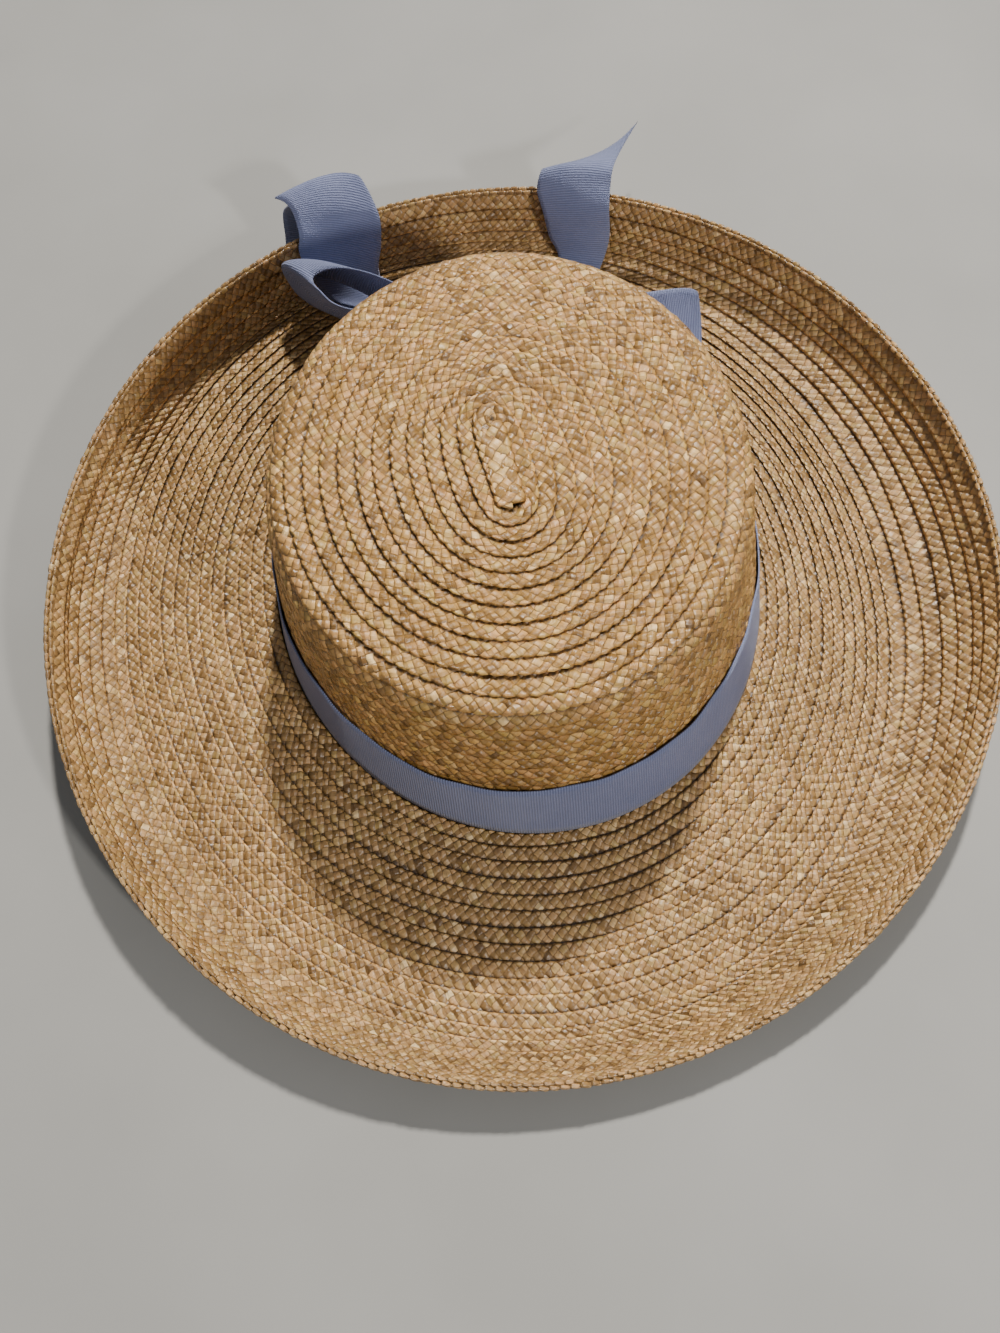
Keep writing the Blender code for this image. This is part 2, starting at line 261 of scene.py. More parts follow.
def straw_material(name, stops, gap_shade_colour, gloss, object_tone, dive):
    """Colour and height of a braid of splints at 45 degrees to the weave map, glossy and fibrous.
    dive holds the side that goes under the next row, 1 or -1, and where its crevice of painted shade starts
    and ends, counted in cells from the strip's middle line. The gap colour is painted shade: at the
    splints' ends, and darker in that crevice."""
    material, tree, shader = new_material(name)
    along, across = weave_place(tree)
    under = maths(tree, "MULTIPLY", across, dive[0])
    crevice = step_between(tree, under, dive[1], dive[2])
    over = maths(tree, "MULTIPLY", under, -1.0)
    past_edge = step_between(tree, over, 1.02, 1.1)
    fold = step_between(tree, over, 0.80, 0.93)
    fold = maths(tree, "MULTIPLY", fold, maths(tree, "SUBTRACT", 1.0, past_edge))
    beat = maths(tree, "ABSOLUTE", maths(tree, "SINE", maths(tree, "MULTIPLY", along, np.pi)))
    beat = step_between(tree, beat, 0.25, 0.85)
    row_highlight_and_tone = ramp(tree, maths(tree, "MULTIPLY_ADD", under, 0.25, 0.5), ROW_HIGHLIGHT_AND_TONES)
    stray = noise(tree, from_three(tree, along, across, 0.0), 1.1, 1.0)
    stray_two = noise(tree, from_three(tree, along, across, 7.3), 1.1, 1.0)
    along = maths(tree, "MULTIPLY_ADD", maths(tree, "SUBTRACT", stray, 0.5), 0.4, along)
    across = maths(tree, "MULTIPLY_ADD", maths(tree, "SUBTRACT", stray_two, 0.5), 0.4, across)
    rising = maths(tree, "ADD", along, across)
    falling = maths(tree, "SUBTRACT", along, across)
    rising_id = maths(tree, "FLOOR", rising)
    falling_id = maths(tree, "FLOOR", falling)
    rising_part = maths(tree, "SUBTRACT", rising, rising_id)
    falling_part = maths(tree, "SUBTRACT", falling, falling_id)
    top = maths(tree, "FLOORED_MODULO", maths(tree, "ADD", rising_id, falling_id), 2.0)
    side = blend_number(tree, top, falling_part, rising_part)
    length = blend_number(tree, top, rising_part, falling_part)
    run = blend_number(tree, top, rising, falling)
    splint = blend_number(tree, top, falling_id, maths(tree, "ADD", rising_id, 0.5))
    side_far = maths(tree, "ABSOLUTE", maths(tree, "MULTIPLY_ADD", side, 2.0, -1.0))
    end_far = maths(tree, "ABSOLUTE", maths(tree, "MULTIPLY_ADD", length, 2.0, -1.0))

    tint = random_of(tree, from_three(tree, splint, top, 1.7))
    shade = random_of(tree, from_three(tree, rising_id, falling_id, 4.1))
    fibre_place = from_three(
        tree, maths(tree, "MULTIPLY", run, 0.5), maths(tree, "MULTIPLY", side, 7.0), splint
    )
    fibre = noise(tree, fibre_place, 2.2, 3.0, 0.6)
    flaw = noise(tree, from_three(tree, run, side, splint), 1.3, 2.0)

    mixed = maths(tree, "ADD", maths(tree, "MULTIPLY", tint, 0.62), maths(tree, "MULTIPLY", shade, 0.38))
    colour = ramp(tree, mixed, stops)
    streak = ramp(tree, fibre, ((0.25, (0.72, 0.68, 0.62)), (0.72, (1.12, 1.1, 1.06))))
    colour = blend_colour(tree, "MULTIPLY", 1.0, colour, streak)
    stain = ramp(tree, flaw, ((0.3, (0.8, 0.76, 0.7)), (0.7, (1.08, 1.08, 1.06))))
    colour = blend_colour(tree, "MULTIPLY", 1.0, colour, stain)
    place = tree.nodes.new("ShaderNodeTexCoord").outputs["Object"]
    broad = ramp(tree, noise(tree, place, 22.0, 3.0), object_tone)
    colour = blend_colour(tree, "MULTIPLY", 1.0, colour, broad)
    value = ramp(tree, shade, ((0.0, (0.74, 0.72, 0.68)), (1.0, (1.2, 1.2, 1.2))))
    colour = blend_colour(tree, "MULTIPLY", 1.0, colour, value)
    # Painted highlight: the long sides of each splint on top are made paler, as if they caught the light.
    rib_top_and_edge_light = step_between(tree, side_far, 0.55, 0.95)
    rib_top_and_edge_light = maths(tree, "MULTIPLY", rib_top_and_edge_light, 0.5)
    colour = blend_colour(tree, "MULTIPLY", rib_top_and_edge_light, colour, (1.35, 1.32, 1.25, 1.0))
    # Painted shadow: each splint is darkened towards its two ends, where it dives under its neighbour, less
    # so by the raised edge.
    painted_end_shadow = step_between(tree, end_far, 0.66, 0.98)
    painted_end_shadow = maths(tree, "MULTIPLY", painted_end_shadow, maths(tree, "MULTIPLY_ADD", shade, 0.7, 0.3))
    painted_end_shadow = maths(tree, "MULTIPLY", painted_end_shadow, maths(tree, "MULTIPLY_ADD", fold, -0.8, 1.0))
    colour = blend_colour(tree, "MIX", maths(tree, "MULTIPLY", painted_end_shadow, 0.9), colour, (*gap_shade_colour, 1.0))
    # Painted highlight: a pale line along the raised side of the strip, where its splints fold over.
    edge = maths(tree, "MULTIPLY", fold, 0.6)
    colour = blend_colour(tree, "MULTIPLY", edge, colour, (1.5, 1.45, 1.35, 1.0))
    # The row table: a painted highlight by the raised side, then the darker and lighter bands across the
    # row.
    colour = blend_colour(tree, "MULTIPLY", 1.0, colour, row_highlight_and_tone)
    # Painted shade: the sunken side, where the strip goes under the next row, is darkened into a crevice,
    # most once to a cell.
    painted_hollow_shade = maths(tree, "MULTIPLY", crevice, maths(tree, "MULTIPLY_ADD", beat, -0.45, 0.95))
    crevice_shade_colour = tuple(value * 0.6 for value in gap_shade_colour)
    colour = blend_colour(tree, "MIX", painted_hollow_shade, colour, (*crevice_shade_colour, 1.0))
    tree.links.new(colour, shader.inputs["Base Color"])

    arch = maths(tree, "SUBTRACT", 1.0, side_far)
    dip = maths(tree, "SUBTRACT", 1.0, maths(tree, "POWER", end_far, 3.0))
    height = maths(tree, "MULTIPLY_ADD", arch, 0.7, maths(tree, "MULTIPLY", dip, 0.6))
    height = maths(tree, "MULTIPLY_ADD", fibre, 0.22, height)
    height = maths(tree, "MULTIPLY_ADD", flaw, 0.2, height)
    lean_one = maths(tree, "SUBTRACT", random_of(tree, from_three(tree, rising_id, falling_id, 9.4)), 0.5)
    lean_two = maths(tree, "SUBTRACT", random_of(tree, from_three(tree, rising_id, falling_id, 6.2)), 0.5)
    height = maths(tree, "MULTIPLY_ADD", maths(tree, "MULTIPLY", lean_one, side), 1.5, height)
    height = maths(tree, "MULTIPLY_ADD", maths(tree, "MULTIPLY", lean_two, length), 1.5, height)
    bump = tree.nodes.new("ShaderNodeBump")
    bump.inputs["Strength"].default_value = 0.9
    bump.inputs["Distance"].default_value = 0.0008
    tree.links.new(height, bump.inputs["Height"])
    tree.links.new(bump.outputs[0], shader.inputs["Normal"])
    rough = maths(tree, "MULTIPLY_ADD", fibre, 0.22, maths(tree, "MULTIPLY", shade, 0.16))
    tree.links.new(maths(tree, "ADD", rough, gloss), shader.inputs["Roughness"])
    shader.inputs["Specular IOR Level"].default_value = 0.8
    return material


golden_straw = straw_material(
    "golden_straw",
    stops=(
        (0, (0.270, 0.148, 0.042)),
        (0.22, (0.416, 0.241, 0.070)),
        (0.45, (0.551, 0.330, 0.102)),
        (0.62, (0.624, 0.355, 0.139)),
        (0.78, (0.541, 0.364, 0.105)),
        (0.9, (0.707, 0.453, 0.176)),
        (1, (0.915, 0.690, 0.353)),
    ),
    # painted shade for the splints' ends and, darker, for the crevices between rows
    gap_shade_colour=(0.085, 0.046, 0.018),
    gloss=0.16,
    object_tone=((0.3, (0.9, 0.88, 0.86)), (0.7, (1.08, 1.06, 1.04))),
    dive=(-1.0, 0.16, 0.46),
)
tan_straw = straw_material(
    "tan_straw",
    stops=(
        (0, (0.250, 0.145, 0.053)),
        (0.22, (0.400, 0.246, 0.094)),
        (0.45, (0.520, 0.333, 0.135)),
        (0.62, (0.590, 0.367, 0.172)),
        (0.78, (0.520, 0.362, 0.135)),
        (0.9, (0.680, 0.463, 0.221)),
        (1, (0.880, 0.695, 0.394)),
    ),
    # painted shade for the splints' ends and, darker, for the crevices between rows
    gap_shade_colour=(0.10, 0.056, 0.028),
    gloss=0.18,
    object_tone=((0.3, (0.9, 0.89, 0.88)), (0.7, (1.08, 1.06, 1.04))),
    dive=(1.0, 0.02, 0.30),
)
print("straw materials:", golden_straw.name, tan_straw.name)

# %% [markdown]
# ## The crown as a surface
# A place on the crown is a distance down its profile, from the middle of the tip over the rounded
# edge and down the wall, and a turn round it. Near the middle the rows are long loops with straight
# sides, because the braid starts folded; towards the edge they become the oval of the head.

# %% Crown surface
CORE_HALF_RUN = 14.5
CORE_SHIFT = (-3.2, 1.0)
TIP_HALF_WIDTH = 72.2
TIP_HALF_LENGTH = 79.0
TIP_CENTRE_X = -2.2
TIP_SKEW = 2.0
EDGE_HEIGHT = 77.0
EDGE_RADIUS = 9.0
TIP_RISE = 2.5
FOOT_HALF_WIDTH = 90.4
FOOT_HALF_LENGTH = 99.9
FOOT_HEIGHT = 8.3


def crown_profile():
    """Rows of distance, half width, half length, centre y and height: tip, quarter round, wall."""
    tip = np.linspace(-0.1, 1.0, 44)
    bend = np.linspace(0.0, np.pi / 2, 13)[1:]
    wall = np.linspace(0.0, 1.0, 24)[1:]
    run = CORE_HALF_RUN * (1 - np.abs(tip)) ** 1.2 + (TIP_HALF_LENGTH - TIP_HALF_WIDTH) * np.abs(tip)
    width = np.concatenate(
        [
            TIP_HALF_WIDTH * tip,
            TIP_HALF_WIDTH + EDGE_RADIUS * np.sin(bend),
            TIP_HALF_WIDTH + EDGE_RADIUS + (FOOT_HALF_WIDTH - TIP_HALF_WIDTH - EDGE_RADIUS) * wall,
        ]
    )
    length = np.concatenate(
        [
            TIP_HALF_WIDTH * tip + run,
            TIP_HALF_LENGTH + EDGE_RADIUS * np.sin(bend),
            TIP_HALF_LENGTH + EDGE_RADIUS + (FOOT_HALF_LENGTH - TIP_HALF_LENGTH - EDGE_RADIUS) * wall,
        ]
    )
    centre = np.concatenate(
        [
            0 * tip + TIP_CENTRE_Y,
            0 * bend + TIP_CENTRE_Y,
            TIP_CENTRE_Y + (HEAD_CENTRE_Y - TIP_CENTRE_Y) * wall,
        ]
    )
    height = np.concatenate(
        [
            EDGE_HEIGHT + EDGE_RADIUS + TIP_RISE * (1 - tip**2),
            EDGE_HEIGHT + EDGE_RADIUS * np.cos(bend),
            EDGE_HEIGHT + (FOOT_HEIGHT - EDGE_HEIGHT) * wall,
        ]
    )
    distance = np.concatenate([[0.0], np.cumsum(np.hypot(np.diff(width), np.diff(height)))])
    distance = distance - np.interp(0.0, width[: len(tip)], distance[: len(tip)])
    down = np.concatenate([0 * tip, 0 * bend, wall])
    return np.stack([distance, width, length, centre, height, down])


CROWN_PROFILE = crown_profile()
print("crown profile, mm:", CROWN_PROFILE[0, -1].round(1))


def crown_place(distance, turn):
    """x is the half width times the sine of the turn. y adds a straight run to a round one: the
    straight part steps over quickly near the core, and eases to a plain oval at the edge."""
    width, length, centre, height, down = (
        np.interp(distance, CROWN_PROFILE[0], row) for row in CROWN_PROFILE[1:]
    )
    share = np.clip(width / TIP_HALF_WIDTH, 0, 1)
    ahead = np.cos(turn)
    quick = np.tanh(2.4 * ahead) / np.tanh(2.4)
    run = (length - width) * (quick * (1 - share) + ahead * share)
    round_it = width + TIP_SKEW * share * (1 - down) * np.sin(2 * turn)
    x = round_it * np.sin(turn) + CORE_SHIFT[0] * (1 - share) + TIP_CENTRE_X * (1 - down)
    y = centre + CORE_SHIFT[1] * (1 - share) + round_it * ahead + run
    return np.stack([x, y, height], axis=-1)


# %% [markdown]
# ## The brim as a surface
# The brim is nearly flat where the hat lies and curls up through 75 degrees at its edge. Its ovals
# are not concentric, and the rim stands higher at the sides and back than in front.

# %% Brim surface
BRIM_OVALS = np.array(
    [
        (88.4, 97.9, 0.0, 8.5, 8.0),
        (94.5, 104.0, 0.0, 8.5, 7.4),
        (120.0, 131.0, -3.0, 5.5, 4.4),
        (141.0, 155.0, -5.0, 3.0, 2.0),
        (147.0, 162.0, -5.0, 3.0, 2.0),
    ]
)
RIM_OVAL = np.array([174.4, 176.1, 0.5, 0.3])
RIM_WAVES = ((2, 1.6), (3, -0.8))
RIM_FRONT = 14.0
RIM_SIDE = 28.0
RIM_BACK = 27.0
CURL = np.radians(75.0)


def rim_height(turn):
    """The side's height, blended to the back's and the front's by the square of the cosine."""
    ahead = np.cos(turn)
    return (
        RIM_BACK * np.maximum(ahead, 0) ** 2
        + RIM_FRONT * np.minimum(ahead, 0) ** 2
        + RIM_SIDE * (1 - ahead**2)
    )


def rim_waves(turn):
    """How far the rim stands outside its oval: two slow waves round the hat."""
    return sum(amount * np.sin(count * turn) for count, amount in RIM_WAVES)


def brim_profile():
    """Rows of distance, half width, half length, centre x, centre y, level height and rim share."""
    flat = np.concatenate([BRIM_OVALS, np.zeros((len(BRIM_OVALS), 2))], axis=1)
    bend = np.linspace(0.0, CURL, 16)[1:, None]
    out = np.sin(bend) / np.sin(CURL)
    up = (1 - np.cos(bend)) / (1 - np.cos(CURL))
    curl = flat[-1, :4] + (RIM_OVAL - flat[-1, :4]) * out
    curl = np.concatenate([curl, np.full_like(out, flat[-1, 4]), up, out], axis=1)
    past = curl[-1:] + (curl[-1:] - curl[-2:-1]) * 1.2
    rows = np.concatenate([flat, curl, past])
    turn = np.linspace(0, 2 * np.pi, 36, endpoint=False)
    x = rows[:, 2:3] + rows[:, :1] * np.sin(turn)
    y = rows[:, 3:4] + rows[:, 1:2] * np.cos(turn)
    z = rows[:, 4:5] + rows[:, 5:6] * (rim_height(turn) - BRIM_OVALS[-1, 4])
    points = np.stack([x, y, z], axis=-1)
    steps = np.linalg.norm(np.diff(points, axis=0), axis=-1).mean(axis=1)
    distance = np.concatenate([[0.0], np.cumsum(steps)])
    return np.concatenate([distance[None], rows.T])


BRIM_PROFILE = brim_profile()
RIM_DISTANCE = BRIM_PROFILE[0, -2]
print("brim profile, mm:", RIM_DISTANCE.round(1))


def brim_place(distance, turn):
    """An oval at the distance out along the brim, raised by its share of the rim's height there."""
    width, length, middle_x, middle_y, level, share, out = (
        np.interp(distance, BRIM_PROFILE[0], row) for row in BRIM_PROFILE[1:]
    )
    rise = share * (rim_height(turn) - BRIM_OVALS[-1, 4])
    beyond = out * rim_waves(turn)
    x = middle_x + (width + beyond) * np.sin(turn)
    y = middle_y + (length + beyond) * np.cos(turn)
    return np.stack([x, y, level + rise], axis=-1)


# %% [markdown]
# ## The braid
# The strip is twice as wide as one cell of its pattern. Its spiral is cut into stations a quarter
# of a cell apart, so that each crossing gets a small pillow. The strip is tilted: on the crown its
# outer edge rides on the next row, and on the brim its inner edge does, as the rows were sewn. The
# edges are scalloped where splints fold back, and nothing is quite regular. A ring of the strip has
# nine places on top and three below.

# %% Braid strip
TOP_ACROSS = np.linspace(-1.0, 1.0, 9)
BELOW_ACROSS = np.array([0.55, 0.0, -0.55])
LEVEL_STAND = 0.7
TILT_RADIANS = 2.0
STATIONS_A_CELL = 4
chance = np.random.default_rng(11)


def slow_noise(length, spacing, amount):
    """A random value every spacing along a length, joined by straight lines."""
    knots = np.arange(0.0, length.max() + 2 * spacing, spacing)
    return amount * np.interp(length, knots, chance.standard_normal(len(knots)))


def out_of(place, distance, turn):
    """Unit normal of a surface by small steps along its two directions, pointing up or outwards."""
    step = 0.05
    down = place(distance + step, turn) - place(distance - step, turn)
    round_it = place(distance, turn + 0.004) - place(distance, turn - 0.004)
    normal = np.cross(round_it, down)
    return normal / np.maximum(np.linalg.norm(normal, axis=-1, keepdims=True), 1e-9)


def splint_height(rising, falling, lots):
    """The upper splint of a crossing: high along its middle, down at both ends, each a little
    different. The whole parts of the two directions say which splint is on top."""
    first = np.floor(rising)
    second = np.floor(falling)
    rising_far = np.abs(rising - first - 0.5) * 2
    falling_far = np.abs(falling - second - 0.5) * 2
    odd = (first + second) % 2
    end_far = np.where(odd == 0, rising_far, falling_far)
    side_far = np.where(odd == 0, falling_far, rising_far)
    chosen = lots[(first * 31 + second * 57).astype(int) % len(lots)]
    return 0.42 * (1 - end_far**2) + 0.1 * (1 - side_far**2) - 0.22 + chosen


def centre_of(start, pitch, phase, closed):
    """The distance of the strip's middle line at a turn."""
    return start + (0.0 if closed else pitch) * phase / (2 * np.pi)


def braid_strip(
    place, start, stop, pitch, cell, thick, lean, lift, begin_turn, scallop, puff, settle=-2.0, closed=False
):
    """A strip two cells wide carried along the spiral whose distance grows by pitch a turn. lean is 1
    where the outer edge is raised and -1 where the inner one is. The strip is level up to the turn
    called settle, then takes its tilt in equal steps over 2 radians; with the default it is tilted
    from its start. Returns rings, weave map and each station's turn from the start."""
    whole = 2 * np.pi * (1.0 if closed else (stop - start) / pitch)
    fine = np.linspace(0.0, whole, int(whole / (2 * np.pi) * 720) + 2)
    centre = start + (0.0 if closed else pitch) * fine / (2 * np.pi)
    path = place(centre, begin_turn + fine)
    length = np.concatenate([[0.0], np.cumsum(np.linalg.norm(np.diff(path, axis=0), axis=1))])
    count = STATIONS_A_CELL * int(round(length[-1] / cell))
    station = np.linspace(0.0, length[-1], count + 1)
    station = station[:-1] if closed else station
    phase = np.interp(station, length, fine)
    along = np.arange(len(station)) / STATIONS_A_CELL

    u = along[:, None]
    across = np.concatenate([TOP_ACROSS, BELOW_ACROSS])[None, :]
    fold = 0.5 - 0.5 * np.cos(2 * np.pi * u)
    edge = np.clip(np.abs(across) - 0.7, 0, 1) / 0.3
    sway = slow_noise(station, 31.0, 0.22)[:, None] + slow_noise(station, 8.0, 0.08)[:, None]
    reach = across * cell * (1 + scallop * edge * (fold - 0.35))
    distance = centre_of(start, pitch, phase, closed)[:, None] + reach + sway
    turn = begin_turn + phase[:, None] + 0 * across

    lots = chance.normal(0.0, 0.1, 997)
    near = ((-0.02, -0.02), (-0.02, 0.02), (0.02, -0.02), (0.02, 0.02))
    pillow = np.max([splint_height(u + across + a, u - across + b, lots) for a, b in near], axis=0)
    pillow = pillow * puff
    slope = lean * (thick + 0.12) / pitch
    grow = np.clip((phase[:, None] - settle) / TILT_RADIANS, 0, 1)
    tilt = slope * across * cell * grow + abs(slope) * cell + LEVEL_STAND * (1 - grow)
    tilt = tilt + slow_noise(station, 17.0, 0.08)[:, None]
    raised = (lean * across > 0) * 1.0
    top = thick * (1 - (0.6 - 0.45 * raised) * edge**2) + pillow * (1 - 0.6 * raised * edge)
    below = np.arange(across.shape[1])[None, :] >= len(TOP_ACROSS)
    height = lift + tilt + np.where(below, 0.0, top)
    surface = place(distance, turn)
    rings = surface + out_of(place, distance, turn) * height[..., None]
    cells = np.stack([u + 0 * across, across + 0 * u], axis=-1)
    return rings, cells, phase


# %% [markdown]
# ## Crown rows
# Twenty-five rows at 6.1 mm cover the tip, the edge and the wall. The strip is cut at the edge of the
# tip, only to keep each mesh light, and again soon after its start, where no row lies over it yet.
# There its weave map is moved on by whole cells, which leaves the weave as it is and takes the
# painted crevice shade away. A short straight strip lies on top, as the first piece of braid does on
# the hat.

# %% Lay the crown
CROWN_CELL = 4.1
CROWN_PITCH = 6.15
CROWN_THICK = 0.95
CROWN_LIFT = -1.95
FREE_TURN = 3.4
TIP_ROWS = 12.5
crown_rings, crown_cells, crown_phase = braid_strip(
    crown_place,
    start=0.7,
    stop=CROWN_PROFILE[0, -1] - 2.5,
    pitch=CROWN_PITCH,
    cell=CROWN_CELL,
    thick=CROWN_THICK,
    lean=1.0,
    lift=CROWN_LIFT,
    begin_turn=3.3,
    scallop=0.12,
    puff=1.0,
    settle=2.2,
)
begun = int(np.searchsorted(crown_phase, FREE_TURN))
cut = int(np.searchsorted(crown_phase, 2 * np.pi * TIP_ROWS))
# Moved across by two cells, so the first turns carry no painted crevice shade.
free_cells = crown_cells[:begun] + np.array([0.0, 2.0])
for name, rings, cells in (
    ("crown_first_straw", crown_rings[:begun], free_cells),
    ("crown_tip_straw", crown_rings[begun - 1 : cut + 1], crown_cells[begun - 1 : cut + 1]),
    ("crown_wall_straw", crown_rings[cut:], crown_cells[cut:]),
):
    piece = make_piece(name, rings, cells, golden_straw)
    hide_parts("crown")
print("crown strip, m:", round(len(crown_phase) * CROWN_CELL / STATIONS_A_CELL * MM, 2))

# %% The first strip
CORE_START = (-5.5, -1.8, 88.5)
CORE_REACH = 6.0
CORE_SINK = 0.035


def core_place(distance, turn):
    """Points of a flat patch: distance runs towards -X, and turn towards +Y at 6 mm a radian. Past
    26 mm it sinks by 0.035 times the square of what is left."""
    far = np.clip(CORE_REACH * turn - 26.0, 0, None)
    x = CORE_START[0] - distance
    y = CORE_START[1] + CORE_REACH * turn
    z = CORE_START[2] - CORE_SINK * far**2
    return np.stack([x + 0 * y, y + 0 * x, z + 0 * x], axis=-1)


core_rings, core_cells, _ = braid_strip(
    core_place,
    start=0.0,
    stop=0.009,
    pitch=0.01,
    cell=CROWN_CELL + 0.9,
    thick=CROWN_THICK,
    lean=0.0,
    lift=-0.2,
    begin_turn=0.0,
    scallop=0.1,
    puff=0.6,
)
# Moved across by four cells, so the first strip carries no painted crevice shade.
core_cells = core_cells + np.array([0.0, 4.0])
core = make_piece("crown_core_straw", core_rings, core_cells, golden_straw)
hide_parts("crown")

# %% [markdown]
# ## Brim rows
# Nearly eighteen narrower rows run out to the rim, cut in three only to keep each mesh light. A last
# closed row follows the rim and hides the spiral's end. Two cords of small beads, one above the
# other, finish the edge: they are the folds of the splints, seen from the side.

# %% Lay the brim
BRIM_LIFT = -2.0
BRIM_BRAID = {
    "pitch": 4.85,
    "cell": 3.7,
    "thick": 0.9,
    "lean": -1.0,
    "begin_turn": 0.4,
    "scallop": 0.05,
    "puff": 0.75,
}
brim_rings, brim_cells, brim_phase = braid_strip(
    brim_place,
    start=4.2,
    stop=RIM_DISTANCE - 5.0,
    lift=BRIM_LIFT,
    **BRIM_BRAID,
)
brim_turns = brim_phase[-1] / (2 * np.pi)
cuts = [int(np.searchsorted(brim_phase, 2 * np.pi * brim_turns * share)) for share in (0.38, 0.70)]
parts = (slice(0, cuts[0] + 1), slice(cuts[0], cuts[1] + 1), slice(cuts[1], None))
for name, part in zip(("brim_inner_straw", "brim_middle_straw", "brim_outer_straw"), parts):
    piece = make_piece(name, brim_rings[part], brim_cells[part], tan_straw)
    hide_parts("brim")
print("brim rows:", round(brim_turns, 1))

last_rings, last_cells, _ = braid_strip(
    brim_place,
    start=RIM_DISTANCE - 3.7,
    stop=None,
    lift=BRIM_LIFT + 0.5,
    closed=True,
    **BRIM_BRAID,
)
# Moved across by two cells, so the last row's uncovered outer side carries no painted crevice shade.
last_cells = last_cells - np.array([0.0, 2.0])
last_row = make_piece("brim_last_straw", last_rings, last_cells, tan_straw, joined=True)
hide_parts("brim")

# %% Bead the rim
RIM_BEAD = 3.5
BEAD_STEPS = 6
BEAD_AROUND = 8


def bead_cord(distance, lift, radius, begin):
    """A cord round the rim whose radius swells once for each folded splint, by the square root of a
    sine, and whose beads lean over each other like scales."""
    fine = np.linspace(0.0, 2 * np.pi, 1441)
    path = brim_place(distance + 0 * fine, fine)
    length = np.concatenate([[0.0], np.cumsum(np.linalg.norm(np.diff(path, axis=0), axis=1))])
    beads = int(round(length[-1] / RIM_BEAD))
    along = np.arange(beads * BEAD_STEPS) / BEAD_STEPS + begin
    turn = np.interp((along - begin) / beads * length[-1], length, fine)[:, None]
    around = np.linspace(0, 2 * np.pi, BEAD_AROUND, endpoint=False)[None, :]
    part = along % 1.0
    swell = radius * (0.62 + 0.38 * np.sqrt(np.sin(np.pi * part) + 0.02))[:, None]
    lean = radius * 0.5 * (part - 0.5)[:, None]
    size = chance.normal(1.0, 0.09, beads + 2)[np.floor(along).astype(int)][:, None]
    outwards = distance + swell * size * np.cos(around) + lean
    height = lift + swell * size * 0.8 * np.sin(around) + lean
    surface = brim_place(outwards, turn + 0 * around)
    rings = surface + out_of(brim_place, outwards, turn + 0 * around) * height[..., None]
    number = np.floor(along)[:, None]
    cells_along = number * 3.0 + 0.5 + 0.5 * part[:, None] + 0 * around
    # The place across stays clear of the painted crevice shade and the painted edge highlight.
    cells = np.stack([cells_along, around / 16 - 0.6 + 0 * number], axis=-1)
    return rings, cells


for name, sizes in (
    ("rim_edge_upper_straw", {"distance": RIM_DISTANCE - 0.1, "lift": 0.2, "radius": 0.95, "begin": 0.0}),
    ("rim_edge_lower_straw", {"distance": RIM_DISTANCE + 0.3, "lift": -1.2, "radius": 1.1, "begin": 0.5}),
):
    edge_rings, edge_cells = bead_cord(**sizes)
    rim_edge = make_piece(name, edge_rings, edge_cells, tan_straw, joined=True)
    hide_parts("brim")

# %% [markdown]
# ## Grosgrain ribbon
# Grosgrain is a plain weave with a thick weft, which stands up as fine ribs right across the
# ribbon, about one to a millimetre. Its map is in millimetres: along the ribbon and across it.


# %% Ribbon material
RIBBON_WIDTH = 31.0
RIBBON_THICK = 0.55
RIB_SPACING = 0.95
WARP_SPACING = 0.32


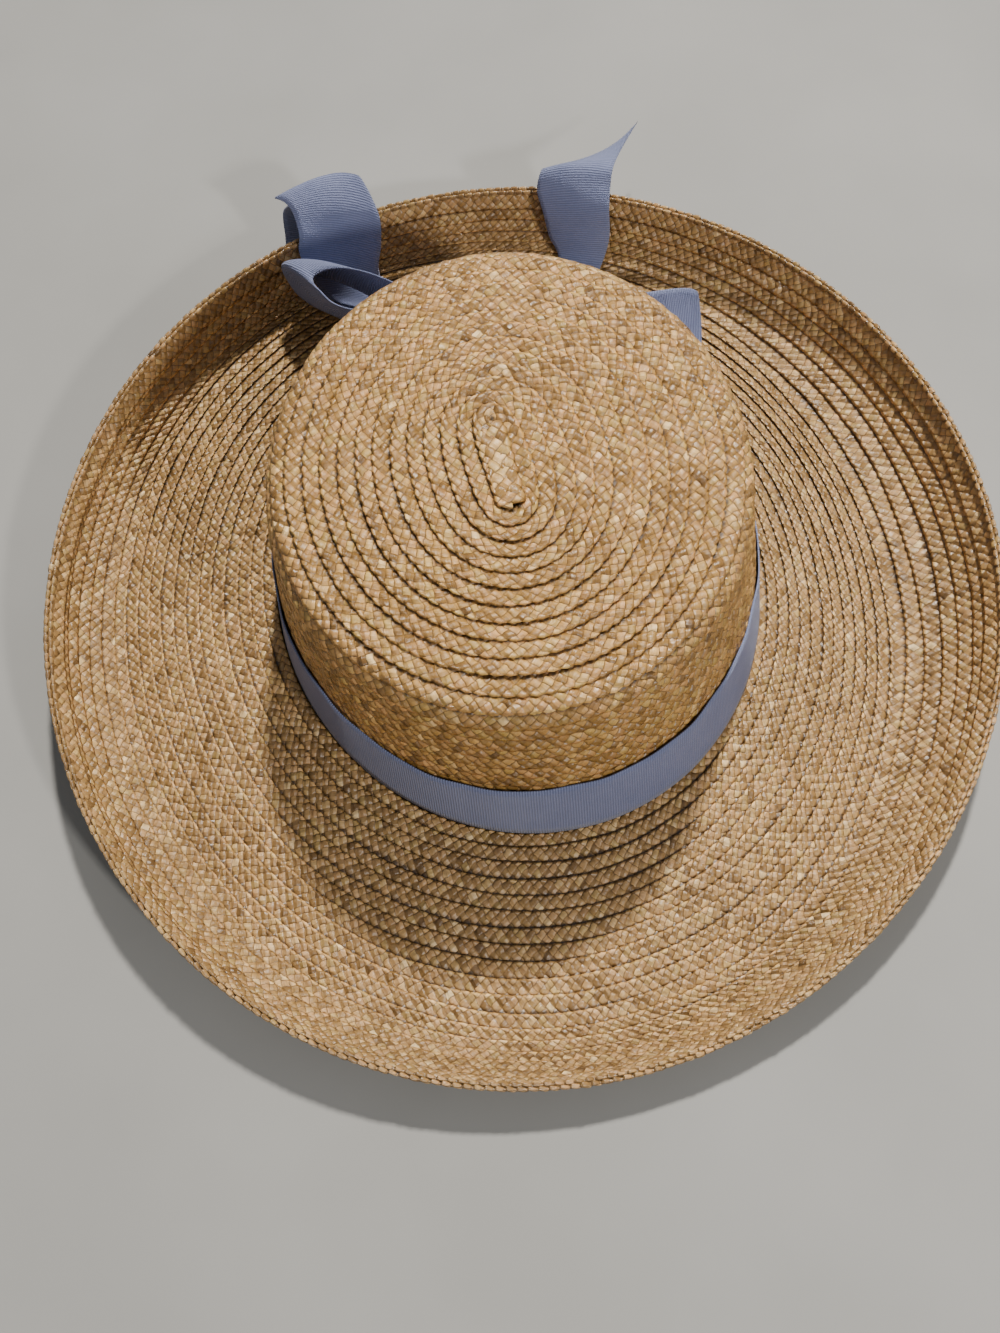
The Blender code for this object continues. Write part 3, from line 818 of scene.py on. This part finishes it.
def ribbon_material(name, base, painted_hollow_shade):
    """A sine wave along the ribbon for the ribs, one to 0.95 mm, with painted shade in the grooves between
    them, a finer one across for the warp, and a paler, raised border where the place across is within a
    millimetre of either edge."""
    material, tree, shader = new_material(name)
    along, across = weave_place(tree)
    stray = noise(tree, from_three(tree, along, across, 0.0), 0.35, 2.0)
    drift = maths(tree, "MULTIPLY_ADD", stray, 0.3, along)
    wave = maths(tree, "SINE", maths(tree, "MULTIPLY", drift, 2 * np.pi / RIB_SPACING))
    rib_top_and_edge_light = maths(tree, "MULTIPLY_ADD", wave, 0.5, 0.5)
    warp = maths(tree, "SINE", maths(tree, "MULTIPLY", across, 2 * np.pi / WARP_SPACING))
    thread = noise(tree, from_three(tree, maths(tree, "MULTIPLY", along, 0.4), across, 1.0), 2.6, 3.0)
    cloud = noise(tree, from_three(tree, along, across, 3.0), 0.09, 3.0)
    # Painted shade: the grooves between the ribs get the darker colour, the rib tops the base colour.
    colour = blend_colour(tree, "MIX", rib_top_and_edge_light, (*painted_hollow_shade, 1.0), (*base, 1.0))
    fleck = ramp(tree, thread, ((0.25, (0.86, 0.87, 0.9)), (0.75, (1.1, 1.09, 1.07))))
    colour = blend_colour(tree, "MULTIPLY", 1.0, colour, fleck)
    fade = ramp(tree, cloud, ((0.3, (0.92, 0.93, 0.95)), (0.7, (1.06, 1.05, 1.04))))
    colour = blend_colour(tree, "MULTIPLY", 1.0, colour, fade)
    middle = maths(tree, "ABSOLUTE", maths(tree, "SUBTRACT", across, RIBBON_WIDTH / 2))
    selvedge = step_between(tree, middle, RIBBON_WIDTH / 2 - 1.0, RIBBON_WIDTH / 2 - 0.2)
    border = maths(tree, "MULTIPLY", selvedge, 0.5)
    colour = blend_colour(tree, "MULTIPLY", border, colour, (1.25, 1.25, 1.2, 1.0))
    tree.links.new(colour, shader.inputs["Base Color"])
    height = maths(tree, "MULTIPLY_ADD", rib_top_and_edge_light, 0.7, maths(tree, "MULTIPLY", warp, 0.1))
    height = maths(tree, "MULTIPLY_ADD", thread, 0.3, height)
    height = maths(tree, "MULTIPLY_ADD", selvedge, 0.5, height)
    bump = tree.nodes.new("ShaderNodeBump")
    bump.inputs["Strength"].default_value = 0.8
    bump.inputs["Distance"].default_value = 0.0003
    tree.links.new(height, bump.inputs["Height"])
    tree.links.new(bump.outputs[0], shader.inputs["Normal"])
    shader.inputs["Roughness"].default_value = 0.72
    shader.inputs["Specular IOR Level"].default_value = 0.3
    shader.inputs["Sheen Weight"].default_value = 0.25
    shader.inputs["Sheen Roughness"].default_value = 0.45
    return material


# The second colour is painted shade for the grooves between the ribs.
blue_ribbon = ribbon_material("blue_ribbon", (0.215, 0.245, 0.40), (0.135, 0.155, 0.27))

# %% Ribbon pieces
def ribbon_piece(name, sheet, closed, thick=RIBBON_THICK):
    """A sheet of points, stations by places across, given its thickness along its own normal. The map
    counts millimetres: the mean length along, and the share of the ribbon's width across."""
    stations, across = sheet.shape[:2]
    if closed:
        ahead = np.roll(sheet, -1, 0) - np.roll(sheet, 1, 0)
    else:
        ahead = np.gradient(sheet, axis=0)
    normal = np.cross(ahead, np.gradient(sheet, axis=1))
    normal = normal / np.maximum(np.linalg.norm(normal, axis=-1, keepdims=True), 1e-9)
    front = sheet + normal * thick / 2
    back = sheet - normal * thick / 2
    rings = np.concatenate([front, back[:, ::-1]], axis=1)
    steps = np.linalg.norm(np.diff(sheet, axis=0), axis=-1).mean(axis=1)
    run = np.concatenate([[0.0], np.cumsum(steps)])
    share = np.linspace(0.0, RIBBON_WIDTH, across)
    share = np.concatenate([share, share[::-1]])
    cells = np.stack(np.broadcast_arrays(run[:, None], share[None, :]), axis=-1)
    piece = make_piece(name, rings, cells, blue_ribbon, joined=closed)
    last = np.linalg.norm(sheet[0] - sheet[-1], axis=-1).mean() if closed else 0.0
    width = np.linalg.norm(np.diff(sheet, axis=1), axis=-1).sum(axis=1).mean()
    print(name, "length and width, mm:", round(run[-1] + last, 1), round(width, 1))
    return piece, run[-1] + last


# %% [markdown]
# ## The band
# The ribbon lies flat round the crown's foot. The wall narrows upwards, so its upper edge is eased
# in and stands off by a fraction of a millimetre here and there.

# %% Band
BAND_LOW = 9.2


def wall_point(turn, height, out):
    """The place at a turn and a height that stands out from the crown's wall by out."""
    share = (height - FOOT_HEIGHT) / (EDGE_HEIGHT - FOOT_HEIGHT)
    out = out + TIP_SKEW * share * np.sin(2 * turn)
    width = FOOT_HALF_WIDTH + (TIP_HALF_WIDTH + EDGE_RADIUS - FOOT_HALF_WIDTH) * share + out
    length = FOOT_HALF_LENGTH + (TIP_HALF_LENGTH + EDGE_RADIUS - FOOT_HALF_LENGTH) * share + out
    centre = HEAD_CENTRE_Y + (TIP_CENTRE_Y - HEAD_CENTRE_Y) * share
    x = TIP_CENTRE_X * share + width * np.sin(turn)
    return np.stack([x, centre + length * np.cos(turn), height + 0 * width], axis=-1)


band_turn = np.linspace(0, 2 * np.pi, 320, endpoint=False)
band_up = np.linspace(0.0, 1.0, 9)
band_height = BAND_LOW + RIBBON_WIDTH * band_up[None, :]
ease = 0.25 * np.sin(7 * band_turn + 1.0) + 0.18 * np.sin(17 * band_turn) + 0.12 * np.sin(29 * band_turn)
stand = 1.15 + ease[:, None] * (0.15 + 0.85 * band_up[None, :] ** 2)
band_sheet = wall_point(band_turn[:, None], band_height, stand)
hatband, band_length = ribbon_piece("hatband_ribbon", band_sheet, True)
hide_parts("hatband")

# %% [markdown]
# ## The knot
# A short length of ribbon is wrapped round the bow's middle from top to bottom and drawn in, so it
# falls into three soft pleats across.

# %% Knot
KNOT_TURN = np.radians(7.0)
KNOT_HALF_TURN = np.radians(7.0)
KNOT_LOW = 9.4
KNOT_HIGH = 37.5

knot_round = np.linspace(0, 2 * np.pi, 56, endpoint=False)[:, None]
knot_across = np.linspace(-1.0, 1.0, 37)[None, :]
knot_half = (KNOT_HIGH - KNOT_LOW) / 2 * (1 - 0.1 * knot_across**2)
knot_face = np.sign(np.sin(knot_round)) * np.abs(np.sin(knot_round)) ** 0.55
knot_upright = np.sign(np.cos(knot_round)) * np.abs(np.cos(knot_round)) ** 0.75
knot_depth = 3.1 * (1 - 0.45 * knot_across**4)
pleats = 0.75 * np.cos(3 * np.pi * knot_across + 0.5 * np.cos(knot_round)) * (1 + knot_face) / 2
knot_out = 2.6 + knot_depth * (1 + knot_face) + pleats
knot_sheet = wall_point(
    KNOT_TURN + KNOT_HALF_TURN * knot_across + 0 * knot_round,
    (KNOT_HIGH + KNOT_LOW) / 2 + (knot_half - 0.8) * knot_upright,
    knot_out,
)
knot, knot_length = ribbon_piece("bow_knot_ribbon", knot_sheet, True)
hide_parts("bow_knot")

# %% [markdown]
# ## The bow
# The bow is soft, so it is described at a few places along each ribbon, where its one edge, its
# middle and its other edge lie. The left loop stands up and gapes, the right one has fallen back and
# lies nearly closed. Both tails climb the inside of the curled brim. The left one stands above the rim
# and folds down behind it, the right one ends in a long point. Each row of the tables holds three
# points in millimetres: one edge, the middle and the other edge.

# %% Loops and tails
RIBBONS = {
    "bow_loop_left": (
        ((-1, 113, 8), (-0.5, 112.8, 23), (0, 112.5, 38)),
        ((-26, 146, 12), (-24.5, 140.5, 26), (-23.1, 133.3, 40)),
        ((-47, 160, 16), (-44.3, 152.2, 33), (-37.5, 141.5, 40)),
        ((-57, 157, 17), (-58.5, 157.9, 30), (-48.1, 142, 38)),
        ((-53.5, 150, 14), (-54.7, 150.2, 27), (-47.3, 134, 38.5)),
        ((-41.5, 138.1, 14), (-40.4, 130.6, 26), (-37.7, 122.3, 39)),
        ((-3.5, 111.2, 8), (-3.2, 111, 23), (-3, 110.8, 38)),
    ),
    "bow_loop_right": (
        ((24, 108.8, 10), (24, 110, 21), (24, 111, 33)),
        ((62, 97, 8.5), (61, 108, 12), (59, 116, 22)),
        ((92, 88, 8.5), (92, 101, 11), (90, 110, 20)),
        ((98, 84, 8.8), (101, 95, 15.5), (100.9, 104.4, 25)),
        ((88, 85.5, 8.8), (90, 97.5, 17.5), (94.3, 107.5, 27)),
        ((60, 92.5, 9), (60, 101, 17), (60, 109, 29)),
        ((24, 107.5, 10), (24, 108.3, 22), (24, 109, 34)),
    ),
    "bow_tail_left": (
        ((-3, 113, 10), (3.5, 113.2, 10.3), (10, 113.4, 10)),
        ((-27, 139, 7.5), (-15, 134, 8), (-4, 128, 7.5)),
        ((-44, 154, 8.5), (-30, 149, 7.5), (-18, 143, 7)),
        ((-51.2, 163.6, 24), (-35.8, 161.7, 19), (-20.4, 160.7, 9)),
        ((-49.8, 168.4, 32), (-33.6, 167.1, 28), (-17.5, 165, 20)),
        ((-50.2, 174, 38), (-32.5, 172.4, 37), (-16.1, 168.2, 31)),
        ((-52.3, 177.6, 41), (-32.7, 178.3, 42), (-17.5, 173.8, 38)),
        ((-55.7, 180.2, 42), (-34.1, 184.1, 44), (-20.4, 180.9, 43)),
        ((-49, 180, 38), (-34.5, 183.9, 41), (-22.4, 181.1, 40)),
        ((-53.8, 192.3, 20), (-38, 190.1, 22), (-24.9, 186.7, 22)),
        ((-55.4, 190.2, 8), (-40.4, 188.5, 8), (-27.8, 185.2, 8)),
        ((-56.8, 184.9, 1.2), (-42.3, 183.8, 1.2), (-30.3, 181.8, 1.2)),
    ),
    "bow_tail_right": (
        ((14, 112.6, 10), (20.5, 111.6, 10.3), (27, 110.6, 10)),
        ((38, 133, 6), (47, 126, 6), (56, 119, 6)),
        ((56, 150.2, 4), (64.1, 145.6, 5), (72.7, 142.5, 4)),
        ((54, 158.6, 12), (65.7, 151.8, 15), (77.8, 149, 14)),
        ((51.9, 161.8, 23), (64.4, 155.8, 26), (77.7, 152.5, 27)),
        ((50.1, 165.9, 32), (64.2, 161.5, 35), (79.5, 158.8, 33)),
        ((52.7, 169.7, 38), (67.2, 167.2, 40), (82.1, 164.6, 37)),
        ((57.2, 174.4, 33), (74.5, 172.5, 37), (90.5, 178.1, 32)),
        ((66.7, 184.4, 20), (85.3, 181.9, 29), (104.5, 197.8, 24)),
    ),
}


def smooth_curve(table, count):
    """Points at even steps of a smooth curve through the rows of a table (Catmull-Rom)."""
    rows = np.array(table, float)
    padded = np.concatenate([[2 * rows[0] - rows[1]], rows, [2 * rows[-1] - rows[-2]]])
    place = np.linspace(0, len(rows) - 1, count)
    first = np.minimum(place.astype(int), len(rows) - 2)
    t = (place - first).reshape((-1,) + (1,) * (rows.ndim - 1))
    before, start, stop, after = (padded[first + step] for step in range(4))
    return 0.5 * (
        2 * start
        + (stop - before) * t
        + (2 * before - 5 * start + 4 * stop - after) * t**2
        + (3 * start - before - 3 * stop + after) * t**3
    )


def bent_sheet(table):
    """Smooth along the rows; across, the parabola through edge, middle and edge."""
    rows = smooth_curve(table, 150)
    share = np.linspace(0, 1, 15)[None, :, None]
    first = rows[:, None, 0] * (1 - share) * (1 - 2 * share)
    middle = rows[:, None, 1] * 4 * share * (1 - share)
    return first + middle + rows[:, None, 2] * share * (2 * share - 1)


for name, table in RIBBONS.items():
    ribbon, ribbon_length = ribbon_piece(name + "_ribbon", bent_sheet(table), False)
    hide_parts(name)

# %% [markdown]
# ## Floor, light and camera
# The hat lies on a plain pale floor. One light stands behind it, high and a little to the right, so
# the crown's shadow falls forward over the brim. Its beam is narrow and is aimed past the hat's
# right front, so the floor darkens towards the back and the left. A weak one stands in front, to the
# right.

# %% Floor
floor_mesh = bpy.data.meshes.new("floor")
floor_mesh.from_pydata([(-4, -4, 0), (4, -4, 0), (4, 4, 0), (-4, 4, 0)], [], [(0, 1, 2, 3)])
floor = bpy.data.objects.new("floor", floor_mesh)
bpy.context.scene.collection.objects.link(floor)
pale_floor, floor_tree, floor_shader = new_material("pale_floor")
floor_place = floor_tree.nodes.new("ShaderNodeTexCoord").outputs["Object"]
floor_cloud = noise(floor_tree, floor_place, 9.0, 4.0)
floor_tone = ramp(floor_tree, floor_cloud, ((0.35, (0.300, 0.296, 0.280)), (0.65, (0.332, 0.327, 0.311))))
floor_tree.links.new(floor_tone, floor_shader.inputs["Base Color"])
floor_shader.inputs["Roughness"].default_value = 0.75
floor_mesh.materials.append(pale_floor)
floor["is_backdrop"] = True

# %% Lights
HAT_MIDDLE = Vector((0.0, -0.01, 0.03))


def aim(obj, target):
    """Turns a light or the camera so that it looks at the target."""
    obj.rotation_euler = (Vector(target) - obj.location).to_track_quat("-Z", "Y").to_euler()


def area_light(name, turn, rise, distance, size, power, colour):
    """A square light at a turn from the back towards +X and a rise above the floor, in degrees."""
    turn, rise = np.radians(turn), np.radians(rise)
    light = bpy.data.lights.new(name, "AREA")
    light.size = size
    light.energy = power
    light.color = colour
    obj = bpy.data.objects.new(name, light)
    bpy.context.scene.collection.objects.link(obj)
    way = Vector((np.sin(turn) * np.cos(rise), np.cos(turn) * np.cos(rise), np.sin(rise)))
    obj.location = HAT_MIDDLE + way * distance
    aim(obj, HAT_MIDDLE)
    return obj


key_light = area_light("key_light", 22.0, 51.0, 3.2, 0.2, 17.5, (1.0, 0.96, 0.90))
key_light.data.spread = np.radians(60.0)
aim(key_light, HAT_MIDDLE + Vector((0.12, -0.12, 0.0)))
fill_light = area_light("fill_light", 151.0, 37.0, 2.2, 0.16, 26.0, (1.0, 0.97, 0.93))
world = bpy.data.worlds.new("room")
world.use_nodes = True
background = world.node_tree.nodes["Background"]
background.inputs["Color"].default_value = (0.80, 0.82, 0.85, 1.0)
background.inputs["Strength"].default_value = 0.32
bpy.context.scene.world = world
print("lights, W:", key_light.data.energy, fill_light.data.energy)

# %% [markdown]
# The camera stands above the hat's front and looks down on it steeply. Its place and its lens come
# from the outlines of the brim, the band and the tip, so it is given in the hat's own millimetres.

# %% Camera
CAMERA_PLACE = (-55.7, -176.9, 429.3)
CAMERA_TARGET = (-15.2, -22.5, 0.0)
camera_data = bpy.data.cameras.new("camera")
camera_data.sensor_width = 36.0
camera_data.lens = camera_data.sensor_width * 1200 / 1333
camera = bpy.data.objects.new("camera", camera_data)
camera.location = (np.array(CAMERA_PLACE) + SHIFT) * MM
aim(camera, (np.array(CAMERA_TARGET) + SHIFT) * MM)
bpy.context.scene.collection.objects.link(camera)
bpy.context.scene.camera = camera
print("camera, m:", list(camera.location))

# %% Sizes and the end
new_low, new_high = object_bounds()
sizes = {"cad": [list(cad_low), list(cad_high)], "visual": [list(new_low), list(new_high)]}
print("visual box, m:", list(new_low), list(new_high))
